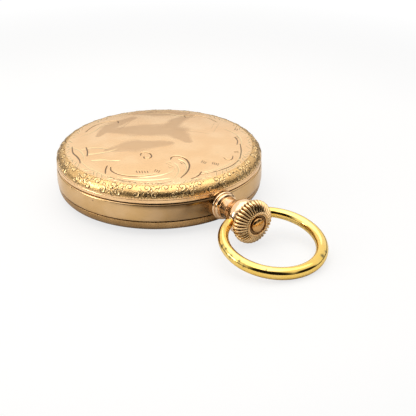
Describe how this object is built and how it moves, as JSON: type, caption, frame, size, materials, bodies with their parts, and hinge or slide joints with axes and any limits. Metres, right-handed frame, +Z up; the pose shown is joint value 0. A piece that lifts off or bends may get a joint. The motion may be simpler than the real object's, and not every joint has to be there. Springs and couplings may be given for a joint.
{
  "type": "open face pocket watch",
  "caption": "Round gold pocket watch with hinged domed back, snap bezel and crystal, pendant, fluted crown and swinging bow over a stem-wound lever movement.",
  "frame": {"origin": "on the watch's own axis, at the flat of the crystal it lies on", "axes": "+Z up out of the back, +Y to twelve o'clock, where the pendant, crown and bow are; on the dial three o'clock is at -X"},
  "size_m": [0.0502, 0.0814, 0.0132],
  "materials": {
    "rose_gold": "satin, fine scratches",
    "bezel_gold": "engraved, polished",
    "bow_gold": "polished",
    "gilt_inner_case": "polished",
    "crystal": "polished",
    "nickel": "striped",
    "train_gilt": "satin",
    "steel": "polished",
    "blued_steel": "blued, polished",
    "ruby": "polished",
    "dial_enamel": "fired enamel, gloss"
  },
  "bodies": {
    "case": {"case_center": "rose_gold", "hinge_pins": "gilt_inner_case", "pendant_neck": "rose_gold", "pendant_collar": "rose_gold", "main_plate": "nickel", "barrel_bridge": "nickel", "train_bridge": "nickel", "balance_cock": "nickel", "pallet_cock": "nickel", "bridge_screws": "blued_steel", "case_screws": "blued_steel", "dial": "dial_enamel", "plate_jewels": "ruby", "bridge_jewels": "ruby", "endstones": "ruby"},
    "back_cover": {"back_cover": "rose_gold"},
    "inner_cover": {"inner_cover": "gilt_inner_case"},
    "bezel": {"bezel": "bezel_gold", "crystal": "crystal"},
    "bow": {"bow": "bow_gold"},
    "winding_pinion": {"winding_pinion": "steel"},
    "crown": {"crown_shell": "rose_gold", "crown_core": "rose_gold", "winding_stem": "steel"},
    "clutch": {"clutch_pinion": "steel"},
    "clutch_lever": {"clutch_lever": "steel"},
    "crown_wheel": {"crown_wheel": "steel", "winding_wheel": "steel"},
    "ratchet": {"ratchet_wheel": "steel", "barrel_arbor": "steel"},
    "click": {"click": "steel"},
    "barrel": {"mainspring_barrel": "train_gilt", "barrel_cover": "train_gilt", "mainspring": "steel"},
    "center": {"center_wheel": "train_gilt", "center_pinion": "steel", "cannon_pinion": "steel", "minute_hand": "blued_steel"},
    "third": {"third_wheel": "train_gilt", "third_pinion": "steel"},
    "fourth": {"fourth_wheel": "train_gilt", "fourth_pinion": "steel", "seconds_hand": "blued_steel"},
    "escape": {"escape_wheel": "steel", "escape_pinion": "steel"},
    "pallet": {"pallet_fork": "steel", "pallet_arbor": "steel", "pallet_stones": "ruby"},
    "balance": {"balance_wheel": "train_gilt", "balance_screws": "train_gilt", "balance_staff": "steel", "roller_table": "steel", "impulse_jewel": "ruby", "hairspring": "blued_steel"},
    "regulator": {"regulator": "steel"},
    "minute_work": {"minute_wheel": "train_gilt"},
    "hour_work": {"hour_wheel": "train_gilt", "hour_hand": "blued_steel"},
    "setting_work": {"setting_wheel": "steel"}
  },
  "joints": [
    {"name": "back_cover_hinge", "type": "hinge", "parent": "case", "child": "back_cover", "pos_m": [0, -0.02535, 0.00827], "axis": [1, 0, 0], "range_deg": [0, 110]},
    {"name": "inner_cover_hinge", "type": "hinge", "parent": "case", "child": "inner_cover", "pos_m": [0, -0.0235, 0.00836], "axis": [1, 0, 0], "range_deg": [0, 88.1]},
    {"name": "bezel_hinge", "type": "hinge", "parent": "case", "child": "bezel", "pos_m": [0, -0.02535, 0.00363], "axis": [-1, 0, 0], "range_deg": [0, 100]},
    {"name": "bow_swing", "type": "hinge", "parent": "case", "child": "bow", "pos_m": [0, 0.0333, 0.00569], "axis": [1, 0, 0], "range_deg": [-70, 95]},
    {"name": "crown_turn", "type": "hinge", "parent": "case", "child": "winding_pinion", "pos_m": [0, 0.01773, 0.00569], "axis": [0, 1, 0], "continuous": true},
    {"name": "crown_pull", "type": "slide", "parent": "winding_pinion", "child": "crown", "axis": [0, 1, 0], "range_m": [0, 0.0012]},
    {"name": "clutch_slide", "type": "slide", "parent": "winding_pinion", "child": "clutch", "axis": [0, -1, 0], "range_m": [0, 0.00085]},
    {"name": "clutch_lever_pivot", "type": "hinge", "parent": "case", "child": "clutch_lever", "pos_m": [0.0062, 0.01591, 0.00569], "axis": [0, 0, 1], "range_deg": [0, 10]},
    {"name": "crown_wheel_turn", "type": "hinge", "parent": "case", "child": "crown_wheel", "pos_m": [0, 0.01398, 0.00924], "axis": [0, 0, 1], "continuous": true},
    {"name": "ratchet_turn", "type": "hinge", "parent": "case", "child": "ratchet", "pos_m": [0.0093, 0.00339, 0.00924], "axis": [0, 0, 1], "continuous": true},
    {"name": "click_lift", "type": "hinge", "parent": "case", "child": "click", "pos_m": [0.01198, 0.01339, 0.00924], "axis": [0, 0, 1], "range_deg": [0, 12]},
    {"name": "center_turn", "type": "hinge", "parent": "case", "child": "center", "pos_m": [0, 0, 0.00609], "axis": [0, 0, 1], "continuous": true},
    {"name": "barrel_turn", "type": "hinge", "parent": "case", "child": "barrel", "pos_m": [0.0093, 0.00339, 0.00609], "axis": [0, 0, 1], "continuous": true},
    {"name": "third_turn", "type": "hinge", "parent": "case", "child": "third", "pos_m": [0.00606, -0.00666, 0.00609], "axis": [0, 0, 1], "continuous": true},
    {"name": "fourth_turn", "type": "hinge", "parent": "case", "child": "fourth", "pos_m": [0, -0.0106, 0.00609], "axis": [0, 0, 1], "continuous": true},
    {"name": "escape_turn", "type": "hinge", "parent": "case", "child": "escape", "pos_m": [-0.00527, -0.01283, 0.00609], "axis": [0, 0, 1], "continuous": true},
    {"name": "minute_wheel_turn", "type": "hinge", "parent": "case", "child": "minute_work", "pos_m": [0, 0.0036, 0.00409], "axis": [0, 0, 1], "continuous": true},
    {"name": "hour_wheel_turn", "type": "hinge", "parent": "case", "child": "hour_work", "pos_m": [0, 0, 0.00409], "axis": [0, 0, 1], "continuous": true},
    {"name": "setting_wheel_turn", "type": "hinge", "parent": "case", "child": "setting_work", "pos_m": [0, 0.0099, 0.00409], "axis": [0, 0, 1], "continuous": true},
    {"name": "pallet_swing", "type": "hinge", "parent": "case", "child": "pallet", "pos_m": [-0.0073, -0.00947, 0.00609], "axis": [0, 0, 1], "range_deg": [-3, 3]},
    {"name": "balance_swing", "type": "hinge", "parent": "case", "child": "balance", "pos_m": [-0.0099, -0.0052, 0.00799], "axis": [0, 0, 1], "range_deg": [-270, 270]},
    {"name": "regulator_index", "type": "hinge", "parent": "case", "child": "regulator", "pos_m": [-0.0099, -0.0052, 0.00979], "axis": [0, 0, 1], "range_deg": [-12, 12]}
  ],
  "couplings": [
    {"joint": "inner_cover_hinge", "follows": "back_cover_hinge", "ratio": 0.8},
    {"joint": "clutch_slide", "follows": "crown_pull", "ratio": 0.70833},
    {"joint": "clutch_lever_pivot", "follows": "crown_pull", "rad_per_m": 137.54},
    {"joint": "crown_wheel_turn", "follows": "crown_turn", "ratio": -0.4},
    {"joint": "ratchet_turn", "follows": "crown_turn", "ratio": 0.27143},
    {"joint": "barrel_turn", "follows": "center_turn", "ratio": -0.15385},
    {"joint": "third_turn", "follows": "center_turn", "ratio": -8},
    {"joint": "fourth_turn", "follows": "center_turn", "ratio": 60},
    {"joint": "escape_turn", "follows": "center_turn", "ratio": -600},
    {"joint": "minute_wheel_turn", "follows": "center_turn", "ratio": -0.33333},
    {"joint": "hour_wheel_turn", "follows": "center_turn", "ratio": 0.083333},
    {"joint": "setting_wheel_turn", "follows": "center_turn", "ratio": 0.25}
  ]
}
